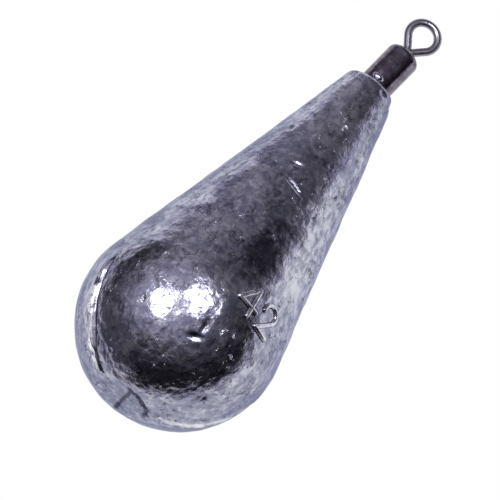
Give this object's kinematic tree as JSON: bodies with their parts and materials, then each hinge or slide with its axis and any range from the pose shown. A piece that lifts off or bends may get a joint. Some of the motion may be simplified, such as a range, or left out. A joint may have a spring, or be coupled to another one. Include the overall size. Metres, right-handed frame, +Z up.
{
  "type": "fishing sinker",
  "caption": "Pear-shaped cast lead fishing sinker with a round end, a long taper and a barrel swivel cast into its narrow end, whose wire eye takes the line and spins freely.",
  "frame": {"origin": "centre of the line eye's loop, where the line holds the sinker", "axes": "+Z up the line, along the swivel axis, so the lead hangs below the origin; the loop of the eye lies in the XZ plane, and the lead leans 5 degrees to the swivel axis in that plane"},
  "size_m": [0.0164, 0.0164, 0.0423],
  "materials": {
    "cast_lead": "as cast, semi-bright",
    "dark_plated_brass": "dark nickel plate",
    "steel_wire": "drawn, semi-bright"
  },
  "bodies": {
    "line_eye": {"line_eye": "steel_wire"},
    "sinker": {"lead_body": "cast_lead", "swivel_barrel": "dark_plated_brass", "anchor_eye": "steel_wire"}
  },
  "joints": [
    {"name": "swivel_spin", "type": "hinge", "parent": "line_eye", "child": "sinker", "pos_m": [0, 0, 0], "axis": [0, 0, 1], "continuous": true}
  ]
}
